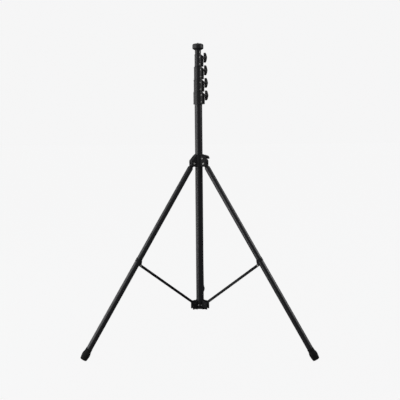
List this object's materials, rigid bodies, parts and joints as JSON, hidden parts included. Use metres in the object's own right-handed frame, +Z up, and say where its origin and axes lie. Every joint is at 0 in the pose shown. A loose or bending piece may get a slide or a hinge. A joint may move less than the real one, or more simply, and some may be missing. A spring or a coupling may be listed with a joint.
{
  "type": "lighting stand",
  "caption": "Tall black telescopic lighting stand: folding tripod base with braces, clamped nested risers with wing knobs, and a wide platform head with a stud.",
  "frame": {"origin": "on the floor, under the centre of the box that encloses the opened, lowered stand", "axes": "+Z up along the column; the front, between two of the legs, faces -Y; the lock knobs point to +X"},
  "size_m": [1.55, 1.3486, 2.121],
  "materials": {
    "tube": "satin black powder coat",
    "collar": "fine textured black coat on cast metal",
    "knob": "moulded black plastic",
    "foot": "moulded black rubber",
    "fitting": "dark grey moulded plastic",
    "bolt": "zinc plated steel"
  },
  "bodies": {
    "column": {"column_tube": "tube", "lock_collar_1": "collar", "base_hub": "collar", "column_cap": "fitting"},
    "leg_collar": {"leg_collar": "collar", "leg_collar_bush": "fitting", "leg_1_pivot_bolt": "bolt", "leg_2_pivot_bolt": "bolt", "leg_3_pivot_bolt": "bolt"},
    "leg_collar_knob": {"leg_collar_knob": "knob"},
    "leg_collar_shoe": {"leg_collar_shoe": "fitting"},
    "riser_1": {"riser_1_tube": "tube", "riser_1_bush": "fitting", "lock_collar_2": "collar"},
    "riser_2": {"riser_2_tube": "tube", "riser_2_bush": "fitting", "lock_collar_3": "collar"},
    "riser_3": {"riser_3_tube": "tube", "riser_3_bush": "fitting", "lock_collar_4": "collar"},
    "riser_4": {"riser_4_tube": "tube", "riser_4_bush": "fitting", "head_platform": "collar", "head_stud": "bolt", "head_screw": "bolt"},
    "lock_knob_1": {"lock_knob_1": "knob"},
    "lock_shoe_1": {"lock_shoe_1": "fitting"},
    "lock_knob_2": {"lock_knob_2": "knob"},
    "lock_shoe_2": {"lock_shoe_2": "fitting"},
    "lock_knob_3": {"lock_knob_3": "knob"},
    "lock_shoe_3": {"lock_shoe_3": "fitting"},
    "lock_knob_4": {"lock_knob_4": "knob"},
    "lock_shoe_4": {"lock_shoe_4": "fitting"},
    "leg_1": {"leg_1_top_fitting": "collar", "leg_1_tube": "tube", "leg_1_foot": "foot", "leg_1_brace_bracket": "collar", "brace_1_upper_bolt": "bolt"},
    "brace_1": {"brace_1": "tube", "brace_1_lower_bolt": "bolt"},
    "leg_2": {"leg_2_top_fitting": "collar", "leg_2_tube": "tube", "leg_2_foot": "foot", "leg_2_brace_bracket": "collar", "brace_2_upper_bolt": "bolt"},
    "brace_2": {"brace_2": "tube", "brace_2_lower_bolt": "bolt"},
    "leg_3": {"leg_3_top_fitting": "collar", "leg_3_tube": "tube", "leg_3_foot": "foot", "leg_3_brace_bracket": "collar", "brace_3_upper_bolt": "bolt"},
    "brace_3": {"brace_3": "tube", "brace_3_lower_bolt": "bolt"}
  },
  "joints": [
    {"name": "riser_1_slide", "type": "slide", "parent": "column", "child": "riser_1", "axis": [0, 0, 1], "range_m": [0, 1.295]},
    {"name": "riser_2_slide", "type": "slide", "parent": "riser_1", "child": "riser_2", "axis": [0, 0, 1], "range_m": [0, 1.295]},
    {"name": "riser_3_slide", "type": "slide", "parent": "riser_2", "child": "riser_3", "axis": [0, 0, 1], "range_m": [0, 1.295]},
    {"name": "riser_4_slide", "type": "slide", "parent": "riser_3", "child": "riser_4", "axis": [0, 0, 1], "range_m": [0, 1.295]},
    {"name": "lock_knob_1_turn", "type": "hinge", "parent": "column", "child": "lock_knob_1", "pos_m": [0, -0.21654, 1.744], "axis": [1, 0, 0], "range_deg": [0, 270]},
    {"name": "lock_shoe_1_slide", "type": "slide", "parent": "column", "child": "lock_shoe_1", "axis": [1, 0, 0], "range_m": [0, 0.0009]},
    {"name": "lock_knob_2_turn", "type": "hinge", "parent": "riser_1", "child": "lock_knob_2", "pos_m": [0, -0.21654, 1.834], "axis": [1, 0, 0], "range_deg": [0, 270]},
    {"name": "lock_shoe_2_slide", "type": "slide", "parent": "riser_1", "child": "lock_shoe_2", "axis": [1, 0, 0], "range_m": [0, 0.0009]},
    {"name": "lock_knob_3_turn", "type": "hinge", "parent": "riser_2", "child": "lock_knob_3", "pos_m": [0, -0.21654, 1.924], "axis": [1, 0, 0], "range_deg": [0, 270]},
    {"name": "lock_shoe_3_slide", "type": "slide", "parent": "riser_2", "child": "lock_shoe_3", "axis": [1, 0, 0], "range_m": [0, 0.0009]},
    {"name": "lock_knob_4_turn", "type": "hinge", "parent": "riser_3", "child": "lock_knob_4", "pos_m": [0, -0.21654, 2.014], "axis": [1, 0, 0], "range_deg": [0, 270]},
    {"name": "lock_shoe_4_slide", "type": "slide", "parent": "riser_3", "child": "lock_shoe_4", "axis": [1, 0, 0], "range_m": [0, 0.0009]},
    {"name": "leg_collar_slide", "type": "slide", "parent": "column", "child": "leg_collar", "axis": [0, 0, 1], "range_m": [0, 0.31371]},
    {"name": "leg_collar_knob_turn", "type": "hinge", "parent": "leg_collar", "child": "leg_collar_knob", "pos_m": [0, -0.21654, 1.29891], "axis": [0.866, 0.5, 0], "range_deg": [0, 270]},
    {"name": "leg_collar_shoe_slide", "type": "slide", "parent": "leg_collar", "child": "leg_collar_shoe", "axis": [0.866, 0.5, 0], "range_m": [0, 0.0009]},
    {"name": "leg_1_hinge", "type": "hinge", "parent": "leg_collar", "child": "leg_1", "pos_m": [-0.0433, -0.24154, 1.25291], "axis": [0.5, -0.866, 0], "range_deg": [0, 31.5]},
    {"name": "brace_1_hinge", "type": "hinge", "parent": "leg_1", "child": "brace_1", "pos_m": [-0.40547, -0.45064, 0.57034], "axis": [-0.5, 0.866, 0], "range_deg": [0, 82.32]},
    {"name": "leg_2_hinge", "type": "hinge", "parent": "leg_collar", "child": "leg_2", "pos_m": [0.0433, -0.24154, 1.25291], "axis": [0.5, 0.866, 0], "range_deg": [0, 31.5]},
    {"name": "brace_2_hinge", "type": "hinge", "parent": "leg_2", "child": "brace_2", "pos_m": [0.40547, -0.45064, 0.57034], "axis": [-0.5, -0.866, 0], "range_deg": [0, 82.32]},
    {"name": "leg_3_hinge", "type": "hinge", "parent": "leg_collar", "child": "leg_3", "pos_m": [0, -0.16654, 1.25291], "axis": [-1, 0, 0], "range_deg": [0, 31.5]},
    {"name": "brace_3_hinge", "type": "hinge", "parent": "leg_3", "child": "brace_3", "pos_m": [0, 0.25166, 0.57034], "axis": [1, 0, 0], "range_deg": [0, 82.32]}
  ],
  "couplings": [
    {"joint": "lock_shoe_1_slide", "follows": "lock_knob_1_turn", "m_per_rad": 0.0001908},
    {"joint": "lock_shoe_2_slide", "follows": "lock_knob_2_turn", "m_per_rad": 0.0001908},
    {"joint": "lock_shoe_3_slide", "follows": "lock_knob_3_turn", "m_per_rad": 0.0001908},
    {"joint": "lock_shoe_4_slide", "follows": "lock_knob_4_turn", "m_per_rad": 0.0001908},
    {"joint": "leg_collar_shoe_slide", "follows": "leg_collar_knob_turn", "m_per_rad": 0.0001908},
    {"joint": "leg_1_hinge", "follows": "leg_collar_slide", "rad_per_m": 1.7525},
    {"joint": "brace_1_hinge", "follows": "leg_collar_slide", "rad_per_m": 4.5798},
    {"joint": "leg_2_hinge", "follows": "leg_collar_slide", "rad_per_m": 1.7525},
    {"joint": "brace_2_hinge", "follows": "leg_collar_slide", "rad_per_m": 4.5798},
    {"joint": "leg_3_hinge", "follows": "leg_collar_slide", "rad_per_m": 1.7525},
    {"joint": "brace_3_hinge", "follows": "leg_collar_slide", "rad_per_m": 4.5798}
  ]
}
